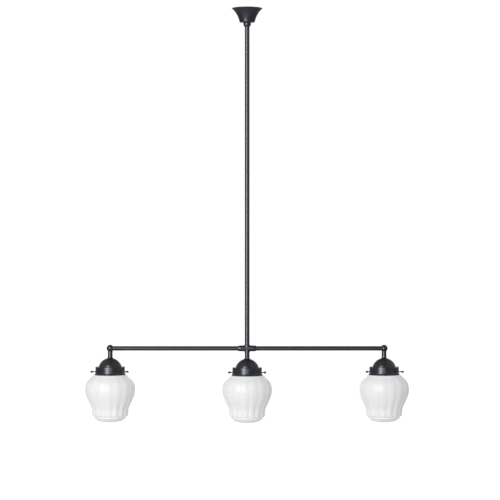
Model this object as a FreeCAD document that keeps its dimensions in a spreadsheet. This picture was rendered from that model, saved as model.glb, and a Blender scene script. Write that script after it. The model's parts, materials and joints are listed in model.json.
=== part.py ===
import FreeCAD, Part
import math
import os
import Sketcher
from types import SimpleNamespace

# Linear island pendant: a ceiling cup, a down rod and a bar that carries three opal glass shades.
# Frame: the origin is the centre of the hanging eye on the rod's axis, +Z is up, the bar runs along X and the
# viewer stands on the -Y side. Lengths are millimetres.

SIZES = (
    # the hanging loop and what it clamps
    ("eye_below_ceiling", 11.0),
    ("eye_bore", 12.0),
    ("eye_wall", 4.0),
    ("eye_thickness", 6.0),
    ("wire_window", 8.3),
    ("post_gap", 10.8),
    ("post_width", 3.2),
    ("loop_base_diameter", 16.0),
    ("loop_base_height", 3.5),
    ("loop_stub", 12.0),
    ("wire_flare_height", 2.1),
    ("wire_flare_widening", 2.4),
    # tube threads and the hollow nipples in them
    ("thread_diameter", 10.0),
    ("nipple_bore", 7.2),
    ("nipple_grip", 10.0),
    ("cross_nipple_grip", 4.3),
    ("stem_nipple_grip", 6.0),
    # the terminal block and its bracket
    ("bracket_sheet", 1.2),
    ("bracket_width", 8.0),
    ("bracket_reach", 20.2),
    ("bracket_shelf", 5.0),
    ("block_length", 27.0),
    ("block_depth", 13.0),
    ("block_height", 11.0),
    ("block_below_eye", 2.0),
    ("pole_pitch", 9.0),
    ("lead_row_offset", 17.0),
    ("lead_diameter", 3.0),
    ("lead_ring_radius", 1.8),
    ("lead_grip", 4.8),
    ("lead_window_gap", 2.0),
    ("lead_pitch", 3.6),
    ("lead_bend", 6.0),
    ("lead_rod_bend", 5.1),
    ("lead_bar_bend", 6.9),
    ("lead_hole_clearance", 0.15),
    ("lead_row_depth", 3.25),
    ("supply_row_depth", 9.75),
    ("screw_pit_depth", 5.0),
    ("clamp_screw_diameter", 3.2),
    ("clamp_screw_length", 3.5),
    ("fixing_screw_diameter", 1.6),
    ("earth_head_height", 1.8),
    # the ceiling cup and its stop collar
    ("cup_rim_radius", 43.3),
    ("cup_waist_radius", 21.9),
    ("cup_flare_height", 35.9),
    ("cup_flare_radius", 65.0),
    ("cup_corner_radius", 4.7),
    ("cup_wall", 1.0),
    ("cup_rim_width", 1.6),
    ("cup_clearance", 0.3),
    ("collar_diameter", 21.2),
    ("collar_height", 6.2),
    ("collar_taper", 5.0),
    ("collar_tip_wall", 0.7),
    ("grub_diameter", 4.0),
    ("running_clearance", 0.05),
    # the rod, the bar and the fittings that join them
    ("rod_diameter", 13.2),
    ("bar_below_ceiling", 944.0),
    ("lamp_spacing", 380.0),
    ("arm_diameter", 12.4),
    ("ball_diameter", 20.0),
    ("ball_seat", 6.8),
    ("cross_length", 51.0),
    ("cross_diameter", 16.4),
    ("cross_end_taper", 7.0),
    ("cross_end_diameter", 14.4),
    ("cross_boss_diameter", 15.6),
    ("cross_boss_reach", 10.7),
    ("cross_cavity", 20.0),
    ("arm_grub_length", 1.6),
    ("outer_stem_reach", 26.4),
    ("centre_stem_reach", 28.3),
    # the dome cap and the shade holder
    ("dome_sphere_radius", 33.3),
    ("dome_height", 24.2),
    ("dome_wall", 1.2),
    ("holder_radius", 40.95),
    ("holder_height", 22.8),
    ("holder_wall", 1.2),
    ("lip_height", 6.0),
    ("lip_flare", 2.75),
    ("nut_height", 3.5),
    ("nut_radius", 8.0),
    # the thumb screws that carry the shade
    ("thumb_screw_drop", 12.7),
    ("thumb_screw_diameter", 3.0),
    ("thumb_screw_reach", 59.5),
    ("thumb_head_diameter", 4.8),
    ("thumb_head_length", 5.0),
    ("thumb_head_chamfer", 0.8),
    ("thumb_tip_gap", 0.3),
    # the lampholder and the lamp
    ("lampholder_radius", 19.8),
    ("lampholder_cap_height", 16.0),
    ("lampholder_crown", 6.4),
    ("lampholder_body_height", 30.0),
    ("lampholder_wall", 2.0),
    ("lampholder_hub_radius", 9.0),
    ("lampholder_hub_depth", 6.5),
    ("lampholder_floor", 4.0),
    ("shell_radius", 14.2),
    ("shell_wall", 0.5),
    ("contact_height", 3.4),
    ("contact_radius", 3.0),
    ("lamp_cap_clearance", 0.4),
    ("lamp_cap_height", 23.0),
    ("lamp_contact_radius", 5.3),
    ("lamp_contact_height", 3.7),
    ("lamp_neck_bend", 82.5),
    ("lamp_length", 110.0),
    ("lamp_radius", 30.0),
    ("lamp_shoulder_radius", 26.0),
    ("lamp_glass_wall", 0.8),
    # the glass shade, from the top down: each drop is counted from the level above it
    ("glass_wall", 2.8),
    ("neck_radius", 37.0),
    ("neck_bead", 2.0),
    ("neck_bead_height", 4.9),
    ("neck_bead_gap", 0.5),
    ("brim_drop", 0.8),
    ("brim_radius", 46.5),
    ("cheek_drop", 4.6),
    ("cheek_radius", 50.4),
    ("shoulder_drop", 8.3),
    ("shoulder_radius", 60.1),
    ("upper_belly_drop", 11.1),
    ("upper_belly_radius", 66.8),
    ("belly_drop", 16.7),
    ("belly_radius", 69.0),
    ("lower_belly_drop", 20.5),
    ("lower_belly_radius", 63.9),
    ("waist_drop", 21.0),
    ("waist_radius", 54.4),
    ("ankle_drop", 14.0),
    ("ankle_radius", 50.1),
    ("foot_drop", 13.0),
    ("foot_radius", 49.4),
    ("foot_edge_drop", 4.0),
    ("foot_edge_radius", 46.3),
    ("ring_step", 0.4),
    ("ring_height", 8.0),
    ("ring_radius", 39.0),
    ("ring_roundness", 7.0),
    ("bottom_crown", 9.0),
    ("lobe_depth", 1.3),
    ("brim_lobe_depth", 0.3),
)

SHADE_LEVELS = (
    "brim", "cheek", "shoulder", "upper_belly", "belly", "lower_belly", "waist", "ankle", "foot", "foot_edge",
)
LOBES = 16
LOBE_POINTS = 4
RINGS_PER_LEVEL = 2
# side of the fixture, place along the bar in lamp spacings, and the turn of the shade's lobes in degrees
LAMPS = (("left", -1, 0.0), ("centre", 0, -5.7), ("right", 1, -5.7))
SCREW_PLACES = (("back", 90), ("front_left", 210), ("front_right", 330))

document = FreeCAD.newDocument("linear_island_pendant")
sheet = document.addObject("Spreadsheet::Sheet", "Sizes")
pieces = []


class Size:
    """A length with the sheet formula that gives it, so that sums of sizes can be bound to a feature."""

    def __init__(self, value, formula):
        self.value = value
        self.formula = formula

    def join(self, other, sign, value):
        return Size(value, f"({self.formula} {sign} {other.formula})")

    def __add__(self, other):
        other = as_size(other)
        return self.join(other, "+", self.value + other.value)

    def __radd__(self, other):
        return as_size(other) + self

    def __sub__(self, other):
        other = as_size(other)
        return self.join(other, "-", self.value - other.value)

    def __rsub__(self, other):
        return as_size(other) - self

    def __mul__(self, other):
        other = as_size(other)
        return self.join(other, "*", self.value * other.value)

    def __rmul__(self, other):
        return as_size(other) * self

    def __truediv__(self, other):
        other = as_size(other)
        return self.join(other, "/", self.value / other.value)

    def __neg__(self):
        return as_size(0) - self


def as_size(number):
    """A plain number as a size; a size stays as it is."""
    if isinstance(number, Size):
        return number
    return Size(float(number), f"{float(number):g}")


def root(size):
    """The square root of a size."""
    return Size(math.sqrt(size.value), f"sqrt({size.formula})")


def fill_sheet():
    """Writes the driving sizes into the sheet and gives them back by name."""
    named = {}
    for row, (alias, value) in enumerate(SIZES, start=1):
        sheet.set(f"A{row}", alias)
        sheet.set(f"B{row}", f"{value:g}")
        sheet.setAlias(f"B{row}", alias)
        named[alias] = Size(value, f"Sizes.{alias}")
    document.recompute()
    return SimpleNamespace(**named)


s = fill_sheet()


def bind(thing, quantity, size):
    """Gives a feature's quantity its number, and its formula where it has one."""
    size = as_size(size)
    if not quantity.startswith("Placement"):
        setattr(thing, quantity, size.value)
    if "Sizes." in size.formula:
        thing.setExpression(quantity, size.formula)


def place(thing, position=(0, 0, 0), turn=None):
    """Puts a feature at a position made of sizes, turned by a rotation."""
    position = [as_size(part) for part in position]
    turn = turn or FreeCAD.Rotation()
    thing.Placement = FreeCAD.Placement(FreeCAD.Vector(*[part.value for part in position]), turn)
    for letter, part in zip("xyz", position):
        bind(thing, f"Placement.Base.{letter}", part)
    return thing


def along(x, y, z):
    """The rotation that lays a piece's own Z axis along a direction."""
    return FreeCAD.Rotation(FreeCAD.Vector(0, 0, 1), FreeCAD.Vector(x, y, z))


ALONG_X = FreeCAD.Rotation(FreeCAD.Vector(0, 1, 0), 90)


def finished(label, thing):
    """Names a sub-part and puts it on the list of pieces to write."""
    thing.Label = label
    pieces.append(thing)
    return thing


# ---------------------------------------------------------------- sketches and turned pieces


def arc_between(start, end, radius, side):
    """The short arc from start to end whose centre lies left (1) or right (-1) of the way."""
    chord = end - start
    half = chord.Length / 2
    reach = math.sqrt(max(radius ** 2 - half ** 2, 0.0))
    across = FreeCAD.Vector(-chord.y, chord.x, 0)
    across.normalize()
    centre = (start + end) / 2 + across * reach * side
    first, last = (start, end) if side > 0 else (end, start)
    begin = math.atan2(first.y - centre.y, first.x - centre.x)
    finish = math.atan2(last.y - centre.y, last.x - centre.x)
    if finish < begin:
        finish += 2 * math.pi
    circle = Part.Circle(centre, FreeCAD.Vector(0, 0, 1), radius)
    return Part.ArcOfCircle(circle, begin, finish)


def outline_sketch(body, name, outline, role):
    """A closed outline of (across, up) corners; a corner with (radius, side) starts an arc."""
    plane = [feature for feature in body.Origin.OriginFeatures if feature.Role == role][0]
    sketch = body.newObject("Sketcher::SketchObject", name)
    sketch.AttachmentSupport = [(plane, "")]
    sketch.MapMode = "FlatFace"
    corners = [(as_size(corner[0]), as_size(corner[1])) for corner in outline]
    points = [FreeCAD.Vector(across.value, up.value, 0) for across, up in corners]
    count = len(points)
    starts = []
    for index in range(count):
        start = points[index]
        end = points[(index + 1) % count]
        bend = outline[index][2] if len(outline[index]) > 2 else None
        if bend:
            sketch.addGeometry(arc_between(start, end, as_size(bend[0]).value, bend[1]), False)
            starts.append(1 if bend[1] > 0 else 2)
        else:
            sketch.addGeometry(Part.LineSegment(start, end), False)
            starts.append(1)
    for index in range(count):
        following = (index + 1) % count
        sketch.addConstraint(
            Sketcher.Constraint("Coincident", index, 3 - starts[index], following, starts[following])
        )
    for index, corner in enumerate(corners):
        for kind, size, axis in (("DistanceX", corner[0], -2), ("DistanceY", corner[1], -1)):
            if size.formula == "0":
                sketch.addConstraint(Sketcher.Constraint("PointOnObject", index, starts[index], axis))
                continue
            rule = Sketcher.Constraint(kind, -1, 1, index, starts[index], size.value)
            number = sketch.addConstraint(rule)
            if "Sizes." in size.formula:
                sketch.setExpression(f"Constraints[{number}]", size.formula)
    for index, corner in enumerate(outline):
        if len(corner) > 2:
            radius = as_size(corner[2][0])
            number = sketch.addConstraint(Sketcher.Constraint("Radius", index, radius.value))
            if "Sizes." in radius.formula:
                sketch.setExpression(f"Constraints[{number}]", radius.formula)
    return sketch


def turned(label, outline, position=(0, 0, 0), turn=None):
    """A piece turned about its own Z axis from an outline of (radius, height) corners."""
    body = document.addObject("PartDesign::Body", f"{label}_body")
    sketch = outline_sketch(body, f"{label}_outline", outline, "XZ_Plane")
    revolution = body.newObject("PartDesign::Revolution", f"{label}_turning")
    revolution.Profile = sketch
    revolution.ReferenceAxis = (sketch, ["V_Axis"])
    revolution.Angle = 360
    body.Tip = revolution
    return finished(label, place(body, position, turn))


def drilled_sideways(body, name, radius, height, depth, holes=1):
    """Drills round holes from the axis outwards, the first towards +Y and the rest spaced evenly round Z."""
    document.recompute()
    before = body.Shape.Volume
    plane = [feature for feature in body.Origin.OriginFeatures if feature.Role == "XZ_Plane"][0]
    sketch = body.newObject("Sketcher::SketchObject", f"{name}_circle")
    sketch.AttachmentSupport = [(plane, "")]
    sketch.MapMode = "FlatFace"
    centre = FreeCAD.Vector(0, height.value, 0)
    sketch.addGeometry(Part.Circle(centre, FreeCAD.Vector(0, 0, 1), radius.value), False)
    sketch.addConstraint(Sketcher.Constraint("PointOnObject", 0, 3, -2))
    level = sketch.addConstraint(Sketcher.Constraint("DistanceY", -1, 1, 0, 3, height.value))
    sketch.setExpression(f"Constraints[{level}]", height.formula)
    width = sketch.addConstraint(Sketcher.Constraint("Radius", 0, radius.value))
    sketch.setExpression(f"Constraints[{width}]", radius.formula)
    pocket = body.newObject("PartDesign::Pocket", f"{name}_hole")
    pocket.Profile = sketch
    pocket.Type = 0
    pocket.Reversed = False
    bind(pocket, "Length", depth)
    body.Tip = pocket
    if holes > 1:
        pattern = body.newObject("PartDesign::PolarPattern", f"{name}_holes")
        pattern.Originals = [pocket]
        pattern.Axis = (sketch, ["V_Axis"])
        pattern.Angle = 360
        pattern.Occurrences = holes
        body.Tip = pattern
    document.recompute()
    if before - body.Shape.Volume < 0.5 * math.pi * radius.value ** 2:
        raise RuntimeError(f"{name} removed nothing")


def tube(label, outer, inner, low, high, position=(0, 0, 0), turn=None):
    """A straight tube from one height to another along its own Z axis."""
    return turned(label, [(inner, low), (outer, low), (outer, high), (inner, high)], position, turn)


# ---------------------------------------------------------------- blocks, rods and their joins


def block(name, low, high):
    """A box between two opposite corners."""
    box = document.addObject("Part::Box", name)
    for quantity, start, end in zip(("Length", "Width", "Height"), low, high):
        bind(box, quantity, as_size(end) - start)
    return place(box, low)


def bar_of(name, radius, length, position, turn=None):
    """A round bar from a position, along Z unless it is turned."""
    cylinder = document.addObject("Part::Cylinder", name)
    bind(cylinder, "Radius", radius)
    bind(cylinder, "Height", length)
    return place(cylinder, position, turn)


def joined(name, *members):
    """One solid of several."""
    fuse = document.addObject("Part::MultiFuse", name)
    fuse.Shapes = list(members)
    fuse.Refine = True
    return fuse


def cut(name, base, *tools):
    """A solid with others taken away."""
    result = document.addObject("Part::Cut", name)
    result.Base = base
    result.Tool = tools[0] if len(tools) == 1 else joined(f"{name}_tools", *tools)
    result.Refine = True
    return result


def together(label, *members):
    """Several equal small solids that share one node."""
    group = document.addObject("Part::Compound", f"{label}_group")
    group.Links = list(members)
    return finished(label, group)


def washer_of(name, outer, inner, low, high, position=(0, 0, 0)):
    """A ring between two heights, made as a bar with a hole."""
    across, along_y, up = position
    ring = bar_of(f"{name}_bar", outer, high - low, (across, along_y, up + low))
    hole = bar_of(f"{name}_bore", inner, high - low, (across, along_y, up + low))
    return cut(name, ring, hole)


# ---------------------------------------------------------------- levels along the rod

ceiling = s.eye_below_ceiling
bar_level = ceiling - s.bar_below_ceiling
eye_outer = s.eye_bore / 2 + s.eye_wall
loop_base_top = -(eye_outer + s.wire_window)
loop_base_bottom = loop_base_top - s.loop_base_height
rod_top = loop_base_bottom - s.bracket_sheet
cup_bottom = ceiling - s.cup_flare_height - s.cup_corner_radius
thread_radius = s.thread_diameter / 2
nipple_bore_radius = s.nipple_bore / 2
rod_radius = s.rod_diameter / 2
arm_radius = s.arm_diameter / 2
block_bottom = -s.block_below_eye
stem_reach = {"left": s.outer_stem_reach, "centre": s.centre_stem_reach, "right": s.outer_stem_reach}


def lamp_position(places):
    """Where a lamp's stem meets the bar, as a distance along X."""
    return s.lamp_spacing * places if places else as_size(0)


# ---------------------------------------------------------------- ceiling end


def make_hanging_loop():
    """A cast eye on two posts over a hollow threaded stub; the leads pass between the posts."""
    half_thickness = s.eye_thickness / 2
    facing = along(0, 1, 0)
    eye = bar_of("eye_ring", eye_outer, s.eye_thickness, (0, -half_thickness, 0), facing)
    posts = []
    for name, side in (("left_post", -1), ("right_post", 1)):
        inner = s.post_gap / 2
        outer = inner + s.post_width
        low_x, high_x = (inner, outer) if side > 0 else (-outer, -inner)
        low = (low_x, -half_thickness, loop_base_top)
        posts.append(block(name, low, (high_x, half_thickness, -s.eye_wall)))
    base = bar_of("loop_base", s.loop_base_diameter / 2, s.loop_base_height, (0, 0, loop_base_bottom))
    stub = bar_of("loop_stub_bar", thread_radius, s.loop_stub, (0, 0, loop_base_bottom - s.loop_stub))
    casting = joined("loop_casting", eye, *posts, base, stub)
    eye_hole = bar_of("eye_hole", s.eye_bore / 2, s.eye_thickness * 2, (0, -s.eye_thickness, 0), facing)
    stub_foot = (0, 0, loop_base_bottom - s.loop_stub)
    wire_way = bar_of("loop_wire_way", nipple_bore_radius, s.loop_base_height + s.loop_stub, stub_foot)
    flare = document.addObject("Part::Cone", "loop_wire_flare")
    bind(flare, "Radius1", nipple_bore_radius)
    bind(flare, "Radius2", nipple_bore_radius + s.wire_flare_widening)
    bind(flare, "Height", s.wire_flare_height)
    place(flare, (0, 0, loop_base_top - s.wire_flare_height))
    finished("hanging_loop", cut("loop_cut", casting, eye_hole, wire_way, flare))


def make_terminal_parts():
    """The sheet bracket clamped under the loop, with the terminal block and its screws."""
    half = s.bracket_width / 2
    plate = s.bracket_sheet
    riser_face = s.bracket_reach - plate
    shelf_end = riser_face + s.bracket_shelf
    shelf_bottom = block_bottom - plate
    washer = bar_of("bracket_washer", s.loop_base_diameter / 2, plate, (0, 0, rod_top))
    arm = block("bracket_arm", (-half, 0, rod_top), (half, s.bracket_reach, loop_base_bottom))
    riser = block("bracket_riser", (-half, riser_face, rod_top), (half, s.bracket_reach, block_bottom))
    shelf = block("bracket_shelf_sheet", (-half, riser_face, shelf_bottom), (half, shelf_end, block_bottom))
    stub_hole = bar_of("bracket_hole", thread_radius, plate, (0, 0, rod_top))
    fixing_radius = s.fixing_screw_diameter / 2
    fixing_foot = (0, riser_face + s.bracket_shelf / 2, shelf_bottom)
    fixing_hole = bar_of("bracket_fixing_hole", fixing_radius, plate, fixing_foot)
    earth_place = (s.loop_base_diameter / 2 + riser_face) / 2
    earth_hole = bar_of("bracket_earth_hole", fixing_radius, plate, (0, earth_place, rod_top))
    sheet_metal = joined("bracket_plate", washer, arm, riser, shelf)
    finished("terminal_bracket", cut("bracket_cut", sheet_metal, stub_hole, fixing_hole, earth_hole))

    head_radius = s.clamp_screw_diameter / 2
    shank = bar_of("fixing_shank", fixing_radius, s.block_height + plate, fixing_foot)
    head = bar_of("fixing_head", head_radius, plate, (0, fixing_foot[1], block_bottom + s.block_height))
    finished("terminal_fixing_screw", joined("fixing_screw", shank, head))
    earth_shank = bar_of("earth_shank", fixing_radius, plate, (0, earth_place, rod_top))
    earth_head = bar_of("earth_head", head_radius, s.earth_head_height, (0, earth_place, loop_base_bottom))
    finished("earth_screw", joined("earth_screw_solid", earth_shank, earth_head))
    make_terminal_block(shelf_end, fixing_foot)


def make_terminal_block(block_back, fixing_foot):
    """The moulded block: three leads enter from below, and a screw in a pit clamps each wire."""
    half_length = s.block_length / 2
    block_front = block_back - s.block_depth
    block_top = block_bottom + s.block_height
    pit_foot = block_top - s.screw_pit_depth
    screw_radius = s.clamp_screw_diameter / 2
    lead_hole_radius = s.lead_diameter / 2 + s.lead_hole_clearance
    moulding = block(
        "terminal_moulding", (-half_length, block_front, block_bottom), (half_length, block_back, block_top)
    )
    fixing_way = bar_of(
        "fixing_way", s.fixing_screw_diameter / 2, s.block_height, (0, fixing_foot[1], block_bottom)
    )
    holes = [fixing_way]
    clamps = []
    for pole, name in ((-1, "left"), (0, "centre"), (1, "right")):
        across = s.pole_pitch * pole
        entry = (across, s.lead_row_offset, block_bottom)
        holes.append(bar_of(f"{name}_lead_hole", lead_hole_radius, s.lead_grip, entry))
        for row, depth in (("lead", s.lead_row_depth), ("supply", s.supply_row_depth)):
            if row == "supply" and not pole:
                continue
            foot = (across, block_front + depth, pit_foot)
            holes.append(bar_of(f"{name}_{row}_screw_pit", screw_radius, s.screw_pit_depth, foot))
            clamps.append(bar_of(f"{name}_{row}_clamp_screw", screw_radius, s.clamp_screw_length, foot))
    finished("terminal_block", cut("terminal_block_cut", moulding, *holes))
    together("terminal_screws", *clamps)


def make_cup():
    """The spun ceiling cup: a trumpet flare with a rounded foot, open to the ceiling."""
    wall = s.cup_wall
    hole = rod_radius + s.cup_clearance
    foot_edge = s.cup_waist_radius - s.cup_corner_radius
    waist_level = ceiling - s.cup_flare_height
    turned("ceiling_cup", [
        (hole, cup_bottom),
        (foot_edge, cup_bottom, (s.cup_corner_radius, 1)),
        (s.cup_waist_radius, waist_level, (s.cup_flare_radius, -1)),
        (s.cup_rim_radius, ceiling),
        (s.cup_rim_radius - s.cup_rim_width, ceiling, (s.cup_flare_radius + wall, 1)),
        (s.cup_waist_radius - wall, waist_level, (s.cup_corner_radius - wall, -1)),
        (foot_edge, cup_bottom + wall),
        (hole, cup_bottom + wall),
    ])


def make_stop_collar():
    """The collar that holds the cup up, and its grub screw at the back."""
    bore = rod_radius + s.running_clearance
    rim = s.collar_diameter / 2
    collar_foot = cup_bottom - s.collar_height
    collar = turned("cup_stop_collar", [
        (bore, cup_bottom),
        (rim, cup_bottom),
        (rim, collar_foot),
        (bore + s.collar_tip_wall, collar_foot - s.collar_taper),
        (bore, collar_foot - s.collar_taper),
    ])
    screw_level = cup_bottom - s.collar_height / 2
    screw_radius = s.grub_diameter / 2
    drilled_sideways(collar, "collar_grub", screw_radius, screw_level, s.collar_diameter)
    start = bore + s.cup_clearance
    turned("cup_stop_screw", [
        (0, start),
        (screw_radius - s.running_clearance, start),
        (screw_radius - s.running_clearance, rim - s.cup_clearance),
        (0, rim - s.cup_clearance),
    ], (0, 0, screw_level), along(0, 1, 0))


# ---------------------------------------------------------------- rod, bar and fittings


def turned_tool(name, outline, position, turn):
    """A turned solid that is only a step towards a piece."""
    body = turned(name, outline, position, turn)
    pieces.remove(body)
    return body


def make_rod_and_bar():
    """The down rod, the four-way cross, the two arms and the ball elbows."""
    boss_top = bar_level + s.cross_boss_reach
    tube("down_rod", rod_radius, thread_radius, boss_top, rod_top)

    half = s.cross_length / 2
    body_radius = s.cross_diameter / 2
    end_radius = s.cross_end_diameter / 2
    cylinder_half = half - s.cross_end_taper
    body = turned_tool("cross_body", [
        (0, -half),
        (end_radius, -half),
        (body_radius, -cylinder_half),
        (body_radius, cylinder_half),
        (end_radius, half),
        (0, half),
    ], (0, 0, bar_level), ALONG_X)
    boss_foot = (0, 0, bar_level - s.cross_boss_reach)
    boss = bar_of("cross_bosses", s.cross_boss_diameter / 2, s.cross_boss_reach * 2, boss_foot)
    arm_socket = bar_of("cross_arm_socket", arm_radius, s.cross_length, (-half, 0, bar_level), ALONG_X)
    thread = bar_of("cross_thread", thread_radius, s.cross_boss_reach * 2, boss_foot)
    grub_holes = []
    grub_screws = []
    grub_place = (s.cross_cavity / 2 + half) / 2
    grub_radius = s.grub_diameter / 2
    backward = along(0, 1, 0)
    for name, side in (("left", -1), ("right", 1)):
        spot = (grub_place * side, arm_radius, bar_level)
        grub_holes.append(bar_of(f"{name}_grub_hole", grub_radius, body_radius, spot, backward))
        grub_screws.append(bar_of(f"{name}_grub_screw", grub_radius, s.arm_grub_length, spot, backward))
    casting = joined("cross_casting", body, boss)
    finished("cross_fitting", cut("cross_cut", casting, arm_socket, thread, *grub_holes))
    together("arm_grub_screws", *grub_screws)

    grip = s.cross_nipple_grip
    upper = washer_of("rod_nipple", thread_radius, nipple_bore_radius, -grip, s.nipple_grip, (0, 0, boss_top))
    lower = washer_of("stem_nipple", thread_radius, nipple_bore_radius, -s.stem_nipple_grip, grip, boss_foot)
    together("cross_nipples", upper, lower)

    ball_radius = s.ball_diameter / 2
    inner_end = s.cross_cavity / 2
    outer_end = s.lamp_spacing - s.ball_seat
    for name, side in (("left", -1), ("right", 1)):
        start = inner_end if side > 0 else -outer_end
        length = outer_end - inner_end
        tube(f"{name}_arm", arm_radius, thread_radius, as_size(0), length, (start, 0, bar_level), ALONG_X)
        centre = (s.lamp_spacing * side, 0, bar_level)
        ball = document.addObject("Part::Sphere", f"{name}_ball_sphere")
        bind(ball, "Radius", ball_radius)
        place(ball, centre)
        towards_cross = along(-side, 0, 0)
        arm_seat_start = (s.lamp_spacing * side - s.ball_seat * side, 0, bar_level)
        tools = [
            bar_of(f"{name}_ball_arm_bore", thread_radius, ball_radius, centre, towards_cross),
            bar_of(f"{name}_ball_arm_seat", arm_radius, ball_radius, arm_seat_start, towards_cross),
            bar_of(f"{name}_ball_stem_bore", thread_radius, ball_radius, centre, along(0, 0, -1)),
            bar_of(
                f"{name}_ball_stem_seat", rod_radius, ball_radius,
                (centre[0], 0, bar_level - s.ball_seat), along(0, 0, -1),
            ),
        ]
        finished(f"{name}_ball_elbow", cut(f"{name}_ball_cut", ball, *tools))


# ---------------------------------------------------------------- one lamp


def make_stem(side, across, top):
    """The short tube from the bar down to the dome cap."""
    start = bar_level - (s.cross_boss_reach if side == "centre" else s.ball_seat)
    tube(f"{side}_stem", rod_radius, thread_radius, top - start, as_size(0), (across, 0, start))


def make_dome(side, across, top):
    """The domed cap: a thin spherical shell whose foot stands on the shade holder."""
    radius = s.dome_sphere_radius
    inner = radius - s.dome_wall
    centre = -radius
    foot = -s.dome_height
    hole = thread_radius

    def level_on(sphere, distance):
        return centre + root(sphere * sphere - distance * distance)

    def distance_on(sphere, level):
        rise = level - centre
        return root(sphere * sphere - rise * rise)

    turned(f"{side}_dome_cap", [
        (hole, level_on(radius, hole)),
        (hole, level_on(inner, hole), (inner, -1)),
        (distance_on(inner, foot), foot),
        (distance_on(radius, foot), foot, (radius, 1)),
    ], (across, 0, top))


def make_holder(side, across, top):
    """The shade holder: a plate and a skirt that flares to a lip, with three tapped holes."""
    wall = s.holder_wall
    outer = s.holder_radius
    skirt_foot = s.lip_height - s.holder_height
    holder = turned(f"{side}_shade_holder", [
        (thread_radius, 0),
        (outer, 0),
        (outer, skirt_foot),
        (outer + s.lip_flare, -s.holder_height),
        (outer + s.lip_flare - wall, -s.holder_height),
        (outer - wall, skirt_foot),
        (outer - wall, -wall),
        (thread_radius, -wall),
    ], (across, 0, top - s.dome_height))
    drilled_sideways(
        holder, f"{side}_holder", s.thumb_screw_diameter / 2 + s.running_clearance, -s.thumb_screw_drop,
        outer + s.lip_flare, len(SCREW_PLACES),
    )


def make_thumb_screws(side, across, top):
    """Three thumb screws through the skirt, their tips just clear of the shade's neck."""
    shaft = s.thumb_screw_diameter / 2
    head = s.thumb_head_diameter / 2
    tip = s.neck_radius + s.thumb_tip_gap
    shoulder = s.thumb_screw_reach - s.thumb_head_length
    edge = s.thumb_head_chamfer
    for place_name, angle in SCREW_PLACES:
        turn = along(math.cos(math.radians(angle)), math.sin(math.radians(angle)), 0)
        turned(f"{side}_thumb_screw_{place_name}", [
            (0, tip),
            (shaft, tip),
            (shaft, shoulder),
            (head - edge, shoulder),
            (head, shoulder + edge),
            (head, s.thumb_screw_reach - edge),
            (head - edge, s.thumb_screw_reach),
            (0, s.thumb_screw_reach),
        ], (across, 0, top - s.dome_height - s.thumb_screw_drop), turn)


def lampholder_levels(top):
    """The heights of the lampholder's seats, from the holder's plate down."""
    plate = top - s.dome_height - s.holder_wall
    cap_top = plate - s.nut_height
    cap_foot = cap_top - s.lampholder_cap_height
    return plate, cap_top, cap_foot


def make_lampholder(side, across, top):
    """The two-part lampholder under the plate; its shell, contact, nipple and nut are given back."""
    plate, cap_top, cap_foot = lampholder_levels(top)
    radius = s.lampholder_radius
    wall = s.lampholder_wall
    hub = s.lampholder_hub_radius
    crown = s.lampholder_crown
    turned(f"{side}_lampholder_cap", [
        (thread_radius, 0),
        (hub, 0),
        (radius, -crown),
        (radius, -s.lampholder_cap_height),
        (radius - wall, -s.lampholder_cap_height),
        (radius - wall, -crown - wall),
        (hub, -s.lampholder_hub_depth + wall),
        (hub, -s.lampholder_hub_depth),
        (thread_radius, -s.lampholder_hub_depth),
    ], (across, 0, cap_top))
    turned(f"{side}_lampholder_body", [
        (0, 0),
        (radius, 0),
        (radius, -s.lampholder_body_height),
        (s.shell_radius, -s.lampholder_body_height),
        (s.shell_radius, -s.lampholder_floor),
        (0, -s.lampholder_floor),
    ], (across, 0, cap_foot))
    seat = (across, 0, cap_foot - s.lampholder_floor)
    bore_depth = s.lampholder_body_height - s.lampholder_floor
    shell = washer_of(
        f"{side}_shell", s.shell_radius, s.shell_radius - s.shell_wall,
        s.shell_wall - bore_depth, as_size(0), seat,
    )
    contact = bar_of(
        f"{side}_contact", s.contact_radius, s.contact_height,
        (across, 0, cap_foot - s.lampholder_floor - s.contact_height),
    )
    nipple_low = cap_top - s.lampholder_hub_depth
    nipple_high = top + s.nipple_grip
    nipple = washer_of(
        f"{side}_nipple", thread_radius, nipple_bore_radius, nipple_low - nipple_high, as_size(0),
        (across, 0, nipple_high),
    )
    nut = document.addObject("Part::Prism", f"{side}_nut_hexagon")
    nut.Polygon = 6
    bind(nut, "Circumradius", s.nut_radius)
    bind(nut, "Height", s.nut_height)
    place(nut, (across, 0, cap_top))
    nut_hole = bar_of(f"{side}_nut_hole", thread_radius, s.nut_height, (across, 0, cap_top))
    return shell, contact, nipple, cut(f"{side}_nut", nut, nut_hole)


def make_lamp(side, across, top):
    """A lamp with a screw cap and a pear-shaped hollow glass."""
    cap_foot = lampholder_levels(top)[2]
    tip = cap_foot - s.lampholder_floor - s.contact_height - s.lamp_cap_clearance
    cap_radius = s.shell_radius - s.shell_wall - s.lamp_cap_clearance
    glass_top = -s.lamp_cap_height
    turned(f"{side}_lamp_cap", [
        (0, 0),
        (s.lamp_contact_radius, 0),
        (cap_radius, -s.lamp_contact_height),
        (cap_radius, glass_top),
        (0, glass_top),
    ], (across, 0, tip))
    globe = s.lamp_radius
    inner_globe = globe - s.lamp_glass_wall
    centre = globe - s.lamp_length
    shoulder = s.lamp_shoulder_radius
    inner_shoulder = shoulder - s.lamp_glass_wall
    neck_bend = s.lamp_neck_bend
    turned(f"{side}_lamp_glass", [
        (cap_radius - s.lamp_glass_wall, glass_top),
        (cap_radius, glass_top, (neck_bend, 1)),
        (shoulder, centre + root(globe * globe - shoulder * shoulder), (globe, -1)),
        (0, -s.lamp_length),
        (0, s.lamp_glass_wall - s.lamp_length, (inner_globe, 1)),
        (inner_shoulder, centre + root(inner_globe * inner_globe - inner_shoulder * inner_shoulder),
         (neck_bend + s.lamp_glass_wall, -1)),
    ], (across, 0, tip))


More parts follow.
